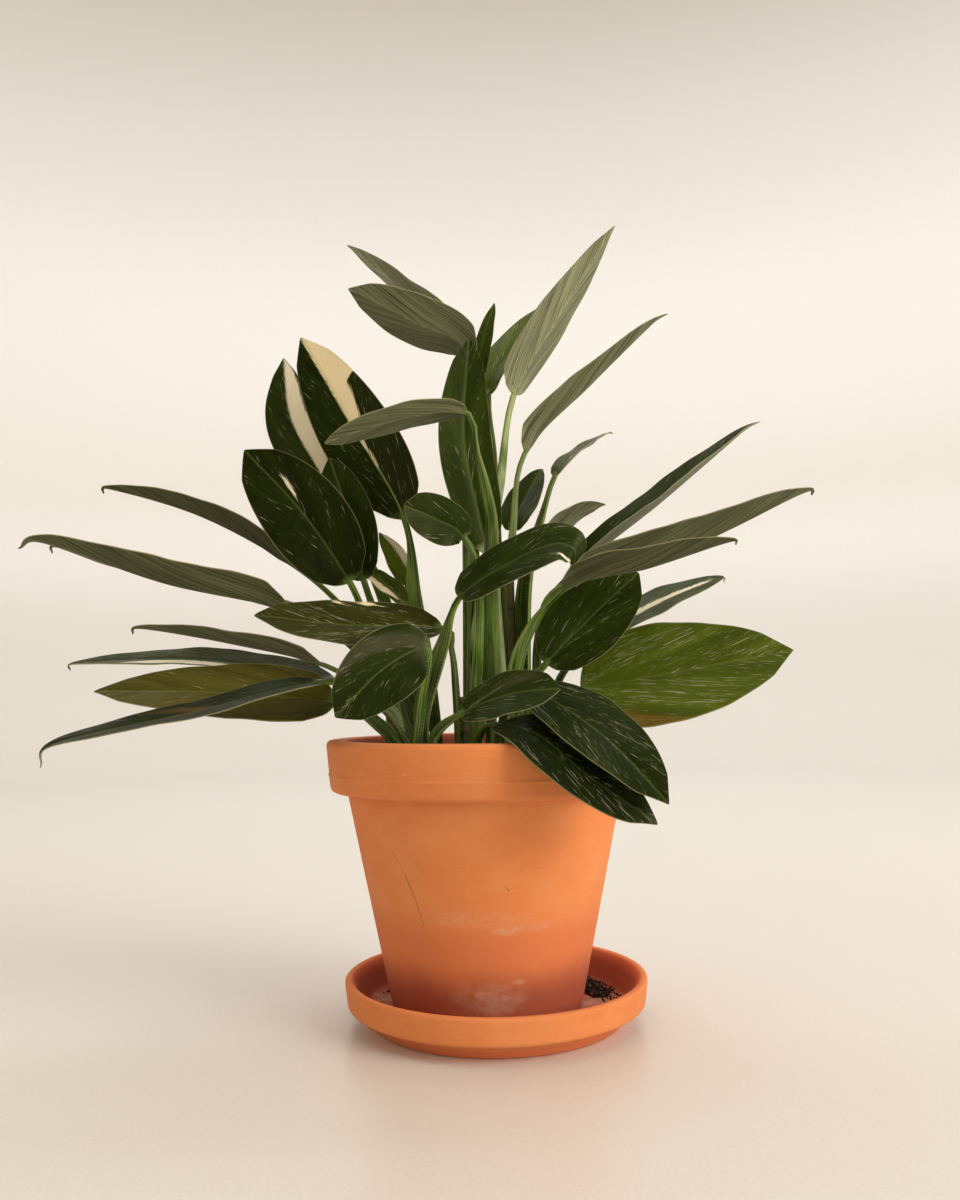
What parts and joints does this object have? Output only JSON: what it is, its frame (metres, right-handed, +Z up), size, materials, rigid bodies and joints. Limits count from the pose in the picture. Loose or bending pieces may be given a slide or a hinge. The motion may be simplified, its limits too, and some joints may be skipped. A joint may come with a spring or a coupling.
{
  "type": "potted philodendron",
  "caption": "Variegated philodendron with long-stalked lance-shaped leaves in a tapered terracotta pot with a thick rim, standing in a terracotta saucer.",
  "frame": {"origin": "where the pot's axis meets the surface the saucer stands on", "axes": "+Z up along the pot's axis, -Y towards the pictured side, +X to the right as pictured"},
  "size_m": [0.5308, 0.2321, 0.5505],
  "materials": {
    "terracotta": "matte",
    "potting_soil": "matte",
    "leaf_green": "satin",
    "stem_green": "satin"
  },
  "bodies": {
    "root": {"pot": "terracotta", "saucer": "terracotta", "soil": "potting_soil", "spilled_soil": "potting_soil", "spilled_crumbs": "potting_soil", "stem_centre": "stem_green", "stem_right": "stem_green", "leaf_top_right": "leaf_green", "leaf_top_right_back": "leaf_green", "leaf_top_small": "leaf_green", "leaf_top_left": "leaf_green", "leaf_top_left_back": "leaf_green", "leaf_centre_tall": "leaf_green", "leaf_centre_cross": "leaf_green", "leaf_cream_half": "leaf_green", "leaf_cream_tip": "leaf_green", "leaf_left_large": "leaf_green", "leaf_left_shaded": "leaf_green", "leaf_inner_left": "leaf_green", "leaf_inner_low": "leaf_green", "leaf_centre_small": "leaf_green", "leaf_centre_curved": "leaf_green", "leaf_left_level": "leaf_green", "leaf_left_hanging": "leaf_green", "leaf_left_high": "leaf_green", "leaf_left_hooked": "leaf_green", "leaf_left_hooked_back": "leaf_green", "leaf_left_thin": "leaf_green", "leaf_left_striped": "leaf_green", "leaf_left_olive": "leaf_green", "leaf_left_trailing": "leaf_green", "leaf_right_slender": "leaf_green", "leaf_right_twisted": "leaf_green", "leaf_right_behind": "leaf_green", "leaf_right_short": "leaf_green", "leaf_right_spear": "leaf_green", "leaf_right_long": "leaf_green", "leaf_right_blunt": "leaf_green", "leaf_right_paired": "leaf_green", "leaf_right_large": "leaf_green", "leaf_right_shaded": "leaf_green", "leaf_front_level": "leaf_green", "leaf_front_right": "leaf_green", "leaf_front_under": "leaf_green"}
  },
  "joints": []
}
